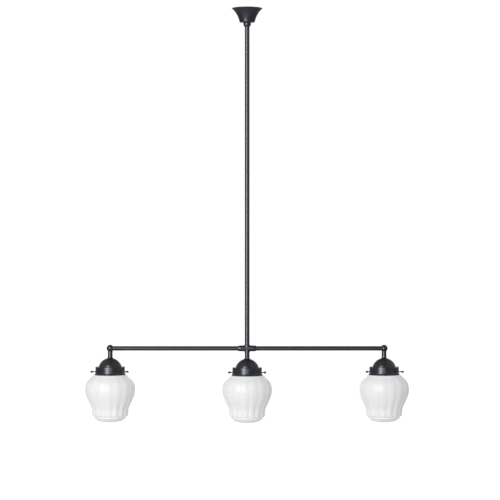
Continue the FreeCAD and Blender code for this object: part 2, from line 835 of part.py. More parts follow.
# ---------------------------------------------------------------- the fluted shade


def lobed_ring(radius, depth, level):
    """A closed wavy ring: its crests touch the radius and its valleys lie a lobe's depth inside."""
    points = []
    count = LOBES * LOBE_POINTS
    for index in range(count):
        angle = 2 * math.pi * index / count
        distance = radius - depth * (1 - math.cos(LOBES * angle)) / 2
        heading = angle - math.pi / 2
        points.append(FreeCAD.Vector(distance * math.cos(heading), distance * math.sin(heading), level))
    curve = Part.BSplineCurve()
    curve.interpolate(points, PeriodicFlag=True)
    return Part.Wire([curve.toShape()])


def round_ring(radius, level):
    """A circle about the shade's axis."""
    return Part.Wire([Part.Circle(FreeCAD.Vector(0, 0, level), FreeCAD.Vector(0, 0, 1), radius).toShape()])


def flat_ring(outer, inner):
    """The flat face between an outer ring and an inner one."""
    inner.reverse()
    return Part.Face([outer, inner])


def spun_face(start, end, bulge=0.0):
    """The face swept round the axis by a straight run, or by an arc that bulges away from it."""
    here = FreeCAD.Vector(start[0], 0, start[1])
    there = FreeCAD.Vector(end[0], 0, end[1])
    if bulge:
        chord = there - here
        outward = FreeCAD.Vector(-chord.z, 0, chord.x).normalize()
        edge = Part.Arc(here, (here + there) / 2 + outward * bulge, there).toShape()
    else:
        edge = Part.LineSegment(here, there).toShape()
    return edge.revolve(FreeCAD.Vector(0, 0, 0), FreeCAD.Vector(0, 0, 1), 360)


def smooth_profile(points):
    """The smooth curve through (radius, level) points."""
    curve = Part.BSplineCurve()
    curve.interpolate([FreeCAD.Vector(radius, 0, level) for radius, level in points])
    return curve


def inner_profile(profile, thickness):
    """The curve that lies a glass thickness inside the shade's outer profile."""
    points = []
    for knot in profile.getKnots():
        place_on = profile.value(knot)
        heading = profile.tangent(knot)[0]
        points.append((place_on.x + heading.z * thickness, place_on.z - heading.x * thickness))
    return smooth_profile(points)


def points_along(profile):
    """The profile's named points, with some between each two of them."""
    knots = profile.getKnots()
    points = []
    for knot, following in zip(knots, knots[1:]):
        for part in range(RINGS_PER_LEVEL):
            points.append(profile.value(knot + (following - knot) * part / RINGS_PER_LEVEL))
    points.append(profile.value(knots[-1]))
    return points


def lobed_rings(profile):
    """The wavy rings of the outside; the lobes fade out at the brim."""
    lobe = s.lobe_depth.value
    fade = lobe - s.brim_lobe_depth.value
    rings = []
    for index, point in enumerate(points_along(profile)):
        left_to_fade = max(1 - index / RINGS_PER_LEVEL, 0)
        rings.append(lobed_ring(point.x, lobe - fade * left_to_fade, point.z))
    return rings


def foot_faces(edge, level, ring, ring_level):
    """The bead ring and the crowned bottom that close the shade, for its outside or its inside."""
    roundness = s.ring_roundness.value
    crown = s.bottom_crown.value
    half_chord = math.hypot(edge - ring, level - ring_level) / 2
    bead_bulge = roundness - math.sqrt(max(roundness ** 2 - half_chord ** 2, 0.0))
    crown_radius = (ring ** 2 + crown ** 2) / (2 * crown)
    crown_bulge = crown_radius - math.sqrt(crown_radius ** 2 - (ring ** 2 + crown ** 2) / 4)
    return [
        spun_face((ring, ring_level), (edge, level), -bead_bulge),
        spun_face((0.0, ring_level - crown), (ring, ring_level), -crown_bulge),
    ]


def neck_faces(brim, inner_brim):
    """The round neck with the bead that the thumb screws hold, down to the brim outside and inside."""
    screw_level = s.holder_height.value - s.thumb_screw_drop.value
    bead_foot = screw_level + s.thumb_screw_diameter.value / 2 + s.neck_bead_gap.value
    neck_top = bead_foot + s.neck_bead_height.value
    neck = s.neck_radius.value
    bead = neck + s.neck_bead.value
    throat = neck - s.glass_wall.value
    return [
        spun_face((neck, brim), (neck, bead_foot)),
        spun_face((neck, bead_foot), (bead, bead_foot)),
        spun_face((bead, bead_foot), (bead, neck_top)),
        spun_face((bead, neck_top), (throat, neck_top)),
        spun_face((throat, neck_top), (throat, inner_brim.z)),
        spun_face((throat, inner_brim.z), (inner_brim.x, inner_brim.z)),
    ]


def shade_glass():
    """The opal glass: a beaded neck, sixteen soft lobes, a ringed foot and a closed crowned bottom."""
    wall = s.glass_wall.value
    lobe = s.lobe_depth.value
    level = 0.0
    points = []
    for name in SHADE_LEVELS:
        level -= getattr(s, f"{name}_drop").value
        points.append((getattr(s, f"{name}_radius").value, level))
    outside = smooth_profile(points)
    inside = inner_profile(outside, wall + lobe / 2)
    rings = lobed_rings(outside)
    inside_points = points_along(inside)
    inner_brim = inside_points[0]
    inner_foot = inside_points[-1]
    brim = points[0][1]
    edge = s.foot_edge_radius.value - lobe - s.ring_step.value
    ring = s.ring_radius.value
    ring_level = level - s.ring_height.value

    faces = [
        Part.makeLoft(rings, False, False),
        Part.makeLoft([round_ring(point.x, point.z) for point in inside_points], False, True),
        flat_ring(rings[0], round_ring(s.neck_radius.value, brim)),
        flat_ring(rings[-1], round_ring(edge, level)),
    ]
    faces += neck_faces(brim, inner_brim)
    faces += foot_faces(edge, level, ring, ring_level)
    faces += foot_faces(inner_foot.x, inner_foot.z, ring - wall, ring_level + wall)
    skin = Part.makeCompound(faces)
    skin.sewShape()
    glass = Part.Solid(skin.Shells[0])
    if glass.Volume < 0:
        glass.reverse()
    return glass


def make_shade(side, across, top, glass, lobe_turn):
    """One shade hung in its holder, its lobes turned as the photograph shows them."""
    shade = document.addObject("Part::Feature", f"{side}_shade_glass")
    shade.Shape = glass
    turn = FreeCAD.Rotation(FreeCAD.Vector(0, 0, 1), lobe_turn)
    place(shade, (across, 0, top - s.dome_height - s.holder_height), turn)
    finished(f"{side}_shade", shade)


# ---------------------------------------------------------------- the leads


def bent_path(points, bends):
    """Straight runs joined by tangent arcs, one bend radius for each inner point."""
    edges = []
    start = points[0]
    for before, corner, after, radius in zip(points, points[1:], points[2:], bends):
        back = (before - corner).normalize()
        onward = (after - corner).normalize()
        half_angle = back.getAngle(onward) / 2
        run_in = corner + back * (radius / math.tan(half_angle))
        run_out = corner + onward * (radius / math.tan(half_angle))
        middle = corner + (back + onward).normalize() * (radius / math.sin(half_angle) - radius)
        edges.append(Part.LineSegment(start, run_in).toShape())
        edges.append(Part.Arc(run_in, middle, run_out).toShape())
        start = run_out
    edges.append(Part.LineSegment(start, points[-1]).toShape())
    return Part.Wire(edges)


def make_lead(side, places, across, top):
    """A lead from the terminal block through the loop, the rod and the bar to one lampholder."""
    thickness = s.lead_diameter.value
    bend = s.lead_bend.value
    ring = s.lead_ring_radius.value
    beside = ring * math.sin(math.radians(60)) * places
    ahead = ring if places == 0 else -ring / 2
    row = s.lead_row_offset.value
    entry_x = s.pole_pitch.value * places
    window_level = -eye_outer.value - s.lead_window_gap.value
    if places == 0:
        window_level -= s.lead_pitch.value
    end = lampholder_levels(top)[2].value
    points = [
        FreeCAD.Vector(entry_x, row, block_bottom.value + s.lead_grip.value),
        FreeCAD.Vector(entry_x, row, window_level),
        FreeCAD.Vector(beside, ahead, window_level),
    ]
    bends = [bend, s.lead_rod_bend.value]
    if places:
        points.append(FreeCAD.Vector(beside, ahead, bar_level.value))
        points.append(FreeCAD.Vector(across.value, ahead, bar_level.value))
        bends += [s.lead_bar_bend.value] * 2
    points.append(FreeCAD.Vector(points[-1].x, ahead, end))
    path = bent_path(points, bends)
    heading = (points[1] - points[0]).normalize()
    circle = Part.Wire([Part.Circle(points[0], heading, thickness / 2).toShape()])
    lead = document.addObject("Part::Feature", f"{side}_lead_tube")
    lead.Shape = path.makePipeShell([circle], True, True)
    finished(f"{side}_lead", lead)
    expected = math.pi * thickness ** 2 / 4 * path.Length
    print(f"{side} lead: {path.Length:.0f} mm long, bends {[round(b, 1) for b in bends]}, "
          f"volume {lead.Shape.Volume / expected:.4f} of section times length")


# ---------------------------------------------------------------- assembly


def make_lamps():
    """The three lamps with everything that hangs from the bar."""
    shells = []
    contacts = []
    nipples = []
    nuts = []
    glass = shade_glass()
    for side, places, lobe_turn in LAMPS:
        across = lamp_position(places)
        top = bar_level - stem_reach[side]
        make_stem(side, across, top)
        make_dome(side, across, top)
        make_holder(side, across, top)
        make_thumb_screws(side, across, top)
        shell, contact, nipple, nut = make_lampholder(side, across, top)
        shells.append(shell)
        contacts.append(contact)
        nipples.append(nipple)
        nuts.append(nut)
        make_lamp(side, across, top)
        make_shade(side, across, top, glass, lobe_turn)
        make_lead(side, places, across, top)
    together("lampholder_shells", *shells)
    together("lampholder_contacts", *contacts)
    together("lamp_nipples", *nipples)
    together("lock_nuts", *nuts)


def check_and_write():
    """Stops on any failed object or bad shape, then writes each sub-part to its own file."""
    document.recompute()
    failed = [thing.Name for thing in document.Objects if {"Invalid", "Error"} & set(thing.State)]
    if failed:
        raise RuntimeError(f"objects failed: {failed}")
    for piece in pieces:
        if piece.Shape.isNull() or not piece.Shape.isValid() or not piece.Shape.Solids:
            raise RuntimeError(f"{piece.Label} has no valid solid")
    os.makedirs("parts", exist_ok=True)
    for piece in pieces:
        piece.Shape.exportStep(f"parts/{piece.Label}.step")
    whole = Part.makeCompound([piece.Shape for piece in pieces]).BoundBox
    print(f"{len(pieces)} pieces, {whole.XLength:.1f} x {whole.YLength:.1f} x {whole.ZLength:.1f} mm")


make_hanging_loop()
make_terminal_parts()
make_cup()
make_stop_collar()
make_rod_and_bar()
make_lamps()
check_and_write()
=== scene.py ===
import bmesh
import bpy
import json
import math
from mathutils import Matrix, Vector


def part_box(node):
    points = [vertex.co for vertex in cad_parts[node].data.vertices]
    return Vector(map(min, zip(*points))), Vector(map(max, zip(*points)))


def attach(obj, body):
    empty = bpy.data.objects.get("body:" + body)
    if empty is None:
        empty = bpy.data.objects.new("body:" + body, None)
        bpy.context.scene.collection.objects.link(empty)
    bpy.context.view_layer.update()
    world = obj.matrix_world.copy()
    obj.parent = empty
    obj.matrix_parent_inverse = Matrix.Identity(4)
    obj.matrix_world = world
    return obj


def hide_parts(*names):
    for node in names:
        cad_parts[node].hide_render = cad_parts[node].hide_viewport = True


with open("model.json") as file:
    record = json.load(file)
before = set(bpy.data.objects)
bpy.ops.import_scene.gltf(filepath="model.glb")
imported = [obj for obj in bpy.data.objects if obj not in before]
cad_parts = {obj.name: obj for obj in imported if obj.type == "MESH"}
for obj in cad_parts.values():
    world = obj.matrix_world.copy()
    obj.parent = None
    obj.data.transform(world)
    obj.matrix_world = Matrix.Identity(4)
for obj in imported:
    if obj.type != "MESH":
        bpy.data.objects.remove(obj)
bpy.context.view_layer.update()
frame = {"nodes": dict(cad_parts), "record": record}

# ---------------------------------------------------------------- the shade, in millimetres

MM = 0.001
SIDES = ("left", "centre", "right")

# the lobes: their count, how far each shade is turned in its holder in degrees, and how soft a crest is
LOBES = 16
LOBE_TURN = {"left": 0.0, "centre": -5.7, "right": -5.7}
LOBE_SOFTNESS = 0.012

# how fine the glass is drawn: points round it, rows down its belly, and rows of the outside for each inside
SHADE_SEGMENTS = LOBES * 18
LEVEL_ROWS = 96
INNER_ROW_STEP = 3

# the wall, the neck's bore, the share of the lobes' depth that shows inside, and the innermost ring's radius
GLASS = 2.8
NECK_BORE = 34.2
INNER_LOBES = 0.8
POLE = 0.6

# the glass counted down from the holder's lip, as (depth, radius, depth of the lobes):
# the beaded neck inside the holder, the lobed belly, and the plain ring round the foot
SHADE_NECK = (
    (-17.0, 37.0, 0.0),
    (-16.8, 38.4, 0.0),
    (-15.8, 39.0, 0.0),
    (-13.6, 39.0, 0.0),
    (-12.5, 38.4, 0.0),
    (-12.1, 37.3, 0.0),
    (-11.2, 37.0, 0.0),
    (-2.2, 37.0, 0.0),
    (-0.6, 37.5, 0.0),
    (0.5, 39.5, 0.05),
    (0.7, 43.5, 0.1),
)
SHADE_LEVELS = (
    (0.8, 46.5, 0.2),
    (2.6, 48.6, 0.5),
    (5.4, 50.6, 0.8),
    (11.0, 57.0, 1.3),
    (16.5, 62.0, 1.5),
    (22.1, 65.3, 1.4),
    (30.4, 67.8, 1.4),
    (41.5, 68.9, 1.2),
    (52.6, 67.5, 1.3),
    (63.7, 64.0, 1.6),
    (74.8, 59.2, 1.9),
    (85.9, 53.9, 2.2),
    (94.0, 50.8, 2.4),
    (102.6, 49.7, 2.5),
    (109.0, 49.5, 2.5),
    (112.6, 48.8, 2.4),
    (114.4, 47.0, 1.8),
)
FOOT_RING = (
    (115.3, 44.9, 0.9),
    (115.5, 43.4, 0.3),
    (116.0, 42.6, 0.0),
    (116.7, 42.7, 0.0),
    (117.2, 43.2, 0.0),
    (118.4, 43.5, 0.0),
    (119.6, 43.1, 0.0),
    (120.7, 42.1, 0.0),
    (121.4, 40.4, 0.0),
    (121.8, 39.0, 0.0),
    (122.3, 38.1, 0.0),
    (122.8, 37.8, 0.0),
)

# the foot is closed by a low crown, an ellipse drawn through these angles
CROWN = 131.0
CROWN_TURNS = (12, 24, 36, 48, 60, 70, 78, 84, 88)

# ---------------------------------------------------------------- tube, sheet and fittings, in millimetres

# the radii of the rod, of the arms and of the nipples' thread
ROD = 6.6
ARM = 6.2
THREAD = 5.0

# the gap round the rod, the gap in a seat, how far a cut runs past its piece, and a length too small to see
ROD_PLAY = 0.1
SEAT_PLAY = 0.05
CUT_PAST = 1.0
HAIR = 1e-6

# the ceiling cup: the waist as (radius, rounding of its foot), the curve of the flare, the angles of the
# rolled rim, and where the flare's outside and inside run into the roll, in shares of the roll's radius
CUP_HOLE = 6.9
CUP_HOLE_EDGE = 0.4
CUP_WAIST = (21.9, 4.7)
CUP_FLARE = 65.0
CUP_WALL = 1.0
RIM_ROLL = 1.2
ROLL_TURNS = range(-60, 181, 20)
OUTSIDE_MEETS_ROLL = (0.6, 0.8)
INSIDE_MEETS_ROLL = (1.3, 1.0)

# the stop collar: the height and the foot width of its taper, and the rounding of rim, shoulder and foot
COLLAR_TAPER = 5.0
COLLAR_FOOT = 0.8
COLLAR_EDGES = (0.6, 1.4, 0.3)

# the cross: the radius of its body and of its ends, the length of a taper, the radius of the bosses,
# and the rounding of ends, body and bosses
CROSS_BODY = (8.2, 7.2, 7.0)
CROSS_BOSS = 7.8
CROSS_EDGES = (0.8, 3.0, 0.7)

# a ball's bores are opened to the tubes' sizes this share of its radius out from the middle
BALL_SEAT = 0.68

# the dome: its sphere, its wall, the raised seat for the stem as (radius, height), the seat's edge, how far
# down the sphere begins outside and inside, and the depths of its flat top's underside and the stem's socket
DOME_SPHERE = 33.3
DOME_WALL = 1.2
SEAT = (7.7, 0.9)
SEAT_EDGE = 0.3
DOME_SHOULDER = 1.3
DOME_INNER_SHOULDER = 2.3
DOME_FLAT_TOP = 1.9
STEM_SOCKET = 0.35

# the shade holder: how far its lip stands out and up, and the rounding outside and inside
LIP = (2.75, 6.0)
HOLDER_WALL = 1.2
HOLDER_EDGES = (1.3, 4.0, 0.35)
HOLDER_INNER_EDGES = (3.0, 0.4)

# the thumb screws: the shank's radius, its hole and how far the cut reaches inwards and outwards, the
# thread's pitch, depth and crest, the collar and the head as (radius, length), the head's edge and its
# domed end as (share of the radius, rise), and its knurls as (count, depth)
SCREW_ANGLES = {"back": 90.0, "front_left": 210.0, "front_right": 330.0}
SCREW = 1.5
SCREW_HOLE = 1.7
SCREW_HOLE_CUT = (6.0, 3.0)
SCREW_PITCH = 0.7
THREAD_DEPTH = 0.25
THREAD_CREST = (0.45, 0.55)
THREAD_START = 0.3
THREAD_RUN_OUT = 1.6
TIP_CHAMFER = 0.4
SCREW_COLLAR = (2.0, 1.0)
COLLAR_NECK = 0.2
SCREW_HEAD = (2.9, 5.0)
HEAD_EDGE = 0.5
HEAD_DOME = (0.55, 0.1)
KNURLS = (18, 0.35)

# the grain of the castings, the rounds of easing they get, and the distance at which two points are one
CAST_GRAIN = 0.45
CAST_EASING = 7
WELD = 0.0001

# the side of the way on which the centre of an arc lies
LEFT = 1
RIGHT = -1

# ---------------------------------------------------------------- camera and studio

# the camera, level and far off: its distance, and the width that the picture takes in at the lamp
SENSOR = 36.0
CAMERA_DISTANCE = 5.43
FRAME_WIDTH = 1.388
CAMERA_X = 0.0079
CAMERA_ABOVE_BAR = 0.273

# the surround as (axis, from, to, brightness at from, brightness at to): front to back, left, right, top
SURROUND = (
    ("Y", 0.2, 0.8, 0.16, 0.14),
    ("X", -0.9, 0.0, 0.22, 0.0),
    ("X", 0.0, 0.9, 0.0, 0.26),
    ("Z", 0.2, 0.9, 0.0, 0.06),
)
BACKDROP_LIGHT = 1.05
FLOOR_SIZE = 60.0
FLOOR_DROP = 1.2
FLOOR_TONE = 0.6

# the softboxes as (name, degrees left of the camera, height over the bar, distance, width, height, watts)
SOFTBOXES = (
    ("key_softbox", 27.0, 0.85, 3.6, 1.3, 3.0, 84.0),
    ("wide_softbox", 10.0, 0.4, 3.8, 2.6, 1.8, 24.0),
    ("back_softbox", 180.0, 0.3, 4.2, 2.6, 2.6, 32.0),
)


def box_of(node):
    """The lowest corner, the highest corner and the middle of a node."""
    low, high = (Vector(corner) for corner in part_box(node))
    return low, high, (low + high) / 2


BAR_LEVEL = box_of("left_arm")[2].z

# ---------------------------------------------------------------- shared node groups


def node_group(name, inputs, outputs):
    """An empty shader group with float sockets; gives back the tree and its two ends."""
    tree = bpy.data.node_groups.new(name, "ShaderNodeTree")
    for label, value in inputs:
        socket = tree.interface.new_socket(name=label, in_out="INPUT", socket_type="NodeSocketFloat")
        socket.default_value = value
    for label in outputs:
        tree.interface.new_socket(name=label, in_out="OUTPUT", socket_type="NodeSocketFloat")
    return tree, tree.nodes.new("NodeGroupInput"), tree.nodes.new("NodeGroupOutput")


def add(tree, kind, **settings):
    """A node with its plain settings."""
    node = tree.nodes.new(kind)
    for name, value in settings.items():
        setattr(node, name, value)
    return node


def noise_of(tree, size, detail, place):
    """Noise over a place, with the size of its grain in millimetres from a socket."""
    scale = add(tree, "ShaderNodeMath", operation="DIVIDE")
    scale.inputs[0].default_value = 1.0 / MM
    noise = add(tree, "ShaderNodeTexNoise")
    noise.inputs["Detail"].default_value = detail
    tree.links.new(size, scale.inputs[1])
    tree.links.new(scale.outputs[0], noise.inputs["Scale"])
    tree.links.new(place, noise.inputs["Vector"])
    return noise


def grain_group():
    """Fine orange-peel grain with a slow change of tone, as a height and two masks."""
    sizes = (("Grain Size", 1.0), ("Cloud Size", 30.0))
    tree, start, end = node_group("grain", sizes, ("Height", "Tone", "Cloud"))
    place = add(tree, "ShaderNodeTexCoord")
    for size, detail, outputs in (("Grain Size", 3.0, ("Height", "Tone")), ("Cloud Size", 2.0, ("Cloud",))):
        noise = noise_of(tree, start.outputs[size], detail, place.outputs["Object"])
        noise.inputs["Roughness"].default_value = 0.55
        for output in outputs:
            tree.links.new(noise.outputs["Fac"], end.inputs[output])
    return tree


def dust_group():
    """A broken film on faces that look up, as a mask."""
    tree, start, end = node_group("dust", (("Amount", 0.3), ("Patch Size", 12.0)), ("Mask",))
    geometry = add(tree, "ShaderNodeNewGeometry")
    upward = add(tree, "ShaderNodeSeparateXYZ")
    rise = add(tree, "ShaderNodeMapRange")
    rise.inputs["From Min"].default_value = 0.35
    rise.inputs["From Max"].default_value = 1.0
    place = add(tree, "ShaderNodeTexCoord")
    noise = noise_of(tree, start.outputs["Patch Size"], 5.0, place.outputs["Object"])
    patchy = add(tree, "ShaderNodeMath", operation="MULTIPLY")
    total = add(tree, "ShaderNodeMath", operation="MULTIPLY")
    tree.links.new(geometry.outputs["Normal"], upward.inputs[0])
    tree.links.new(upward.outputs["Z"], rise.inputs["Value"])
    tree.links.new(rise.outputs[0], patchy.inputs[0])
    tree.links.new(noise.outputs["Fac"], patchy.inputs[1])
    tree.links.new(patchy.outputs[0], total.inputs[0])
    tree.links.new(start.outputs["Amount"], total.inputs[1])
    tree.links.new(total.outputs[0], end.inputs["Mask"])
    return tree


def turning_group():
    """Fine lines left by a lathe or a drawn finish, as a height; they change along Z only."""
    tree, start, end = node_group("turning_marks", (("Line Size", 0.4),), ("Height",))
    place = add(tree, "ShaderNodeTexCoord")
    parts = add(tree, "ShaderNodeSeparateXYZ")
    line = add(tree, "ShaderNodeCombineXYZ")
    tree.links.new(place.outputs["Object"], parts.inputs[0])
    tree.links.new(parts.outputs["Z"], line.inputs["Z"])
    noise = noise_of(tree, start.outputs["Line Size"], 4.0, line.outputs[0])
    tree.links.new(noise.outputs["Fac"], end.inputs["Height"])
    return tree


GRAIN = grain_group()
DUST = dust_group()
TURNING = turning_group()

# ---------------------------------------------------------------- materials


class Finish:
    """A material under construction: its tree, its shader and a few short ways to feed it."""

    def __init__(self, name, **plain):
        self.material = bpy.data.materials.new(name)
        self.material.use_nodes = True
        self.tree = self.material.node_tree
        self.shader = self.tree.nodes["Principled BSDF"]
        for label, value in plain.items():
            self.shader.inputs[label.replace("_", " ")].default_value = value

    def group(self, tree, **values):
        """A shared group, placed with this material's own values."""
        node = self.tree.nodes.new("ShaderNodeGroup")
        node.node_tree = tree
        for label, value in values.items():
            node.inputs[label.replace("_", " ")].default_value = value
        return node

    def colours(self, mask, low, high):
        """A colour that runs from low to high with a mask."""
        mix = add(self.tree, "ShaderNodeMix", data_type="RGBA")
        mix.inputs["A"].default_value = (*low, 1.0)
        mix.inputs["B"].default_value = (*high, 1.0)
        self.tree.links.new(mask, mix.inputs["Factor"])
        return mix

    def overlay(self, mask, under, colour):
        """Another colour laid over a colour where a mask says."""
        mix = add(self.tree, "ShaderNodeMix", data_type="RGBA")
        mix.inputs["B"].default_value = (*colour, 1.0)
        self.tree.links.new(mask, mix.inputs["Factor"])
        self.tree.links.new(under.outputs["Result"], mix.inputs["A"])
        return mix

    def base(self, mix):
        """Feeds a colour to the shader."""
        self.tree.links.new(mix.outputs["Result"], self.shader.inputs["Base Color"])

    def roughness(self, mask, low, high):
        """Feeds a roughness that runs from low to high over the middle of a mask."""
        run = add(self.tree, "ShaderNodeMapRange")
        run.inputs["From Min"].default_value = 0.3
        run.inputs["From Max"].default_value = 0.7
        run.inputs["To Min"].default_value = low
        run.inputs["To Max"].default_value = high
        self.tree.links.new(mask, run.inputs["Value"])
        self.tree.links.new(run.outputs[0], self.shader.inputs["Roughness"])

    def bump(self, height, millimetres, strength):
        """Feeds a bump of a height to the shader."""
        bump = add(self.tree, "ShaderNodeBump")
        bump.inputs["Distance"].default_value = millimetres * MM
        bump.inputs["Strength"].default_value = strength
        self.tree.links.new(height, bump.inputs["Height"])
        self.tree.links.new(bump.outputs["Normal"], self.shader.inputs["Normal"])


def black_powder_coat():
    """Satin black powder coat with a cool cast, fine orange peel and a little dust on top."""
    finish = Finish("black_powder_coat", IOR=1.85, Specular_Tint=(0.88, 0.92, 1.0, 1.0))
    grain = finish.group(GRAIN, Grain_Size=0.9, Cloud_Size=45.0)
    dust = finish.group(DUST, Amount=0.05, Patch_Size=9.0)
    tone = finish.colours(grain.outputs["Cloud"], (0.0030, 0.0032, 0.0055), (0.0050, 0.0053, 0.0085))
    finish.base(finish.overlay(dust.outputs["Mask"], tone, (0.12, 0.118, 0.12)))
    finish.roughness(grain.outputs["Tone"], 0.26, 0.30)
    finish.bump(grain.outputs["Height"], 0.006, 0.2)
    return finish.material


def opal_glass():
    """White opal glass: a satin skin over a milky body, with a painted glow in place of the light its wall
    would carry round the shade.
    """
    finish = Finish("opal_glass", IOR=1.45, Subsurface_Weight=0.3, Subsurface_Scale=0.005)
    finish.shader.inputs["Subsurface Radius"].default_value = (1.0, 1.0, 1.0)
    # painted light: an even emission on the glass stands in for light carried through its wall; the bulbs
    # inside are not lit
    finish.shader.inputs["Emission Color"].default_value = (1.0, 0.995, 0.985, 1.0)
    finish.shader.inputs["Emission Strength"].default_value = 0.34
    grain = finish.group(GRAIN, Grain_Size=14.0, Cloud_Size=60.0)
    finish.base(finish.colours(grain.outputs["Cloud"], (0.525, 0.527, 0.540), (0.555, 0.555, 0.563)))
    finish.roughness(grain.outputs["Tone"], 0.34, 0.40)
    finish.bump(grain.outputs["Height"], 0.03, 0.3)
    return finish.material


def frosted_lamp_glass():
    """The lamp's etched white glass."""
    finish = Finish("frosted_lamp_glass", IOR=1.5)
    grain = finish.group(GRAIN, Grain_Size=0.5, Cloud_Size=25.0)
    finish.base(finish.colours(grain.outputs["Cloud"], (0.84, 0.83, 0.80), (0.89, 0.88, 0.86)))
    finish.roughness(grain.outputs["Tone"], 0.38, 0.50)
    finish.bump(grain.outputs["Height"], 0.02, 0.4)
    return finish.material


def turned_metal(name, low, high, dull, bright, line):
    """Bare metal with turning marks: brass for the contacts and nipples, zinc for the steel pieces."""
    finish = Finish(name, Metallic=1.0)
    marks = finish.group(TURNING, Line_Size=line)
    grain = finish.group(GRAIN, Grain_Size=2.5, Cloud_Size=14.0)
    finish.base(finish.colours(grain.outputs["Cloud"], low, high))
    finish.roughness(grain.outputs["Tone"], dull, bright)
    finish.bump(marks.outputs["Height"], 0.02, 0.5)
    return finish.material


def moulded_plastic(name, low, high, dull, bright):
    """Moulded plastic with a fine spark-eroded grain."""
    finish = Finish(name, IOR=1.48)
    grain = finish.group(GRAIN, Grain_Size=0.35, Cloud_Size=20.0)
    dust = finish.group(DUST, Amount=0.08, Patch_Size=6.0)
    tone = finish.colours(grain.outputs["Cloud"], low, high)
    finish.base(finish.overlay(dust.outputs["Mask"], tone, (0.45, 0.43, 0.40)))
    finish.roughness(grain.outputs["Tone"], dull, bright)
    finish.bump(grain.outputs["Height"], 0.015, 0.5)
    return finish.material


MATERIALS = {
    "black_metal": black_powder_coat(),
    "opal_glass": opal_glass(),
    "lamp_glass": frosted_lamp_glass(),
    "brass": turned_metal("drawn_brass", (0.66, 0.47, 0.20), (0.76, 0.57, 0.28), 0.26, 0.40, 0.35),
    "bare_steel": turned_metal(
        "zinc_plated_steel", (0.55, 0.55, 0.56), (0.66, 0.66, 0.68), 0.28, 0.42, 0.5,
    ),
    "white_plastic": moulded_plastic(
        "terminal_plastic", (0.74, 0.74, 0.71), (0.82, 0.82, 0.80), 0.42, 0.55,
    ),
    "dark_plastic": moulded_plastic(
        "lampholder_plastic", (0.020, 0.019, 0.018), (0.032, 0.030, 0.028), 0.30, 0.42,
    ),
    "lead_sheath": moulded_plastic(
        "lead_sheath", (0.70, 0.70, 0.68), (0.78, 0.78, 0.76), 0.40, 0.52,
    ),
}


def dress_frame():
    """Gives every piece of the frame the finish of its slot."""
    slots = {row["node"]: row["material_slot"] for row in frame["record"]["subparts"]}
    for node, piece in frame["nodes"].items():
        for index in range(len(piece.material_slots)):
            piece.material_slots[index].material = MATERIALS[slots[node]]


def settle(piece, slot_name, body, *nodes):
    """Gives a finished piece its material and its body, in place of the frame's own nodes."""
    piece.data.materials.clear()
    piece.data.materials.append(MATERIALS[slot_name])
    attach(piece, body)
    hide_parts(*nodes)


# ---------------------------------------------------------------- outlines


def rounded(corners, steps=4):
    """An outline from (radius, height, fillet) corners in millimetres, with its corners rounded."""
    points = []
    count = len(corners)
    for index, (across, up, fillet) in enumerate(corners):
        corner = Vector((across, up))
        if not fillet:
            points.append(corner)
            continue
        back = (Vector(corners[index - 1][:2]) - corner).normalized()
        onward = (Vector(corners[(index + 1) % count][:2]) - corner).normalized()
        half = back.angle(onward) / 2
        centre = corner + (back + onward).normalized() * (fillet / math.sin(half))
        run_in = corner + back * (fillet / math.tan(half)) - centre
        run_out = corner + onward * (fillet / math.tan(half)) - centre
        begin = math.atan2(run_in.y, run_in.x)
        sweep = (math.atan2(run_out.y, run_out.x) - begin + math.pi) % (2 * math.pi) - math.pi
        for step in range(steps + 1):
            angle = begin + sweep * step / steps
            points.append(centre + Vector((math.cos(angle), math.sin(angle))) * fillet)
    return [(point.x, point.y) for point in points]


def arc(start, end, radius, side, steps=12):
    """Points on the arc from start to end, with its centre LEFT or RIGHT of the way."""
    start, end = Vector(start), Vector(end)
    chord = end - start
    middle = (start + end) / 2
    left = Vector((-chord.y, chord.x)).normalized()
    centre = middle + left * side * math.sqrt(radius * radius - chord.length_squared / 4)
    begin = math.atan2(start.y - centre.y, start.x - centre.x)
    sweep = (math.atan2(end.y - centre.y, end.x - centre.x) - begin + math.pi) % (2 * math.pi) - math.pi
    turns = [begin + sweep * step / steps for step in range(steps + 1)]
    return [(centre.x + radius * math.cos(turn), centre.y + radius * math.sin(turn)) for turn in turns]


def smooth_value(a, b, c, d, t):
    """The value at the share t of the way from b to c, on a smooth curve through a, b, c and d."""
    slope = (c - a) * t
    bend = (2 * a - 5 * b + 4 * c - d) * t * t
    twist = (3 * b - a - 3 * c + d) * t ** 3
    return 0.5 * (2 * b + slope + bend + twist)


def smooth_rows(levels, rows):
    """Levels filled in with a smooth curve through them, as rows of the same values."""
    filled = []
    last = len(levels) - 1
    for row in range(rows + 1):
        spot = last * row / rows
        index = min(int(spot), last - 1)
        t = spot - index
        before = levels[max(index - 1, 0)]
        here = levels[index]
        there = levels[index + 1]
        after = levels[min(index + 2, last)]
        filled.append(tuple(smooth_value(*four, t) for four in zip(before, here, there, after)))
    return filled


# ---------------------------------------------------------------- making meshes


def at(x, y, z):
    """A place, in metres."""
    return Matrix.Translation((x, y, z))


def facing(place, degrees):
    """The same place with its Z axis laid level, at an angle from +X."""
    return place @ Matrix.Rotation(math.radians(degrees), 4, "Z") @ Matrix.Rotation(math.pi / 2, 4, "Y")


def shade_smooth(piece, sharp):
    """Shades a piece smooth, but keeps edges over an angle sharp and flat faces flat."""
    piece.data.shade_smooth()
    piece.data.set_sharp_from_angle(angle=math.radians(sharp))
    weighted = piece.modifiers.new("weighted_normals", "WEIGHTED_NORMAL")
    weighted.keep_sharp = True


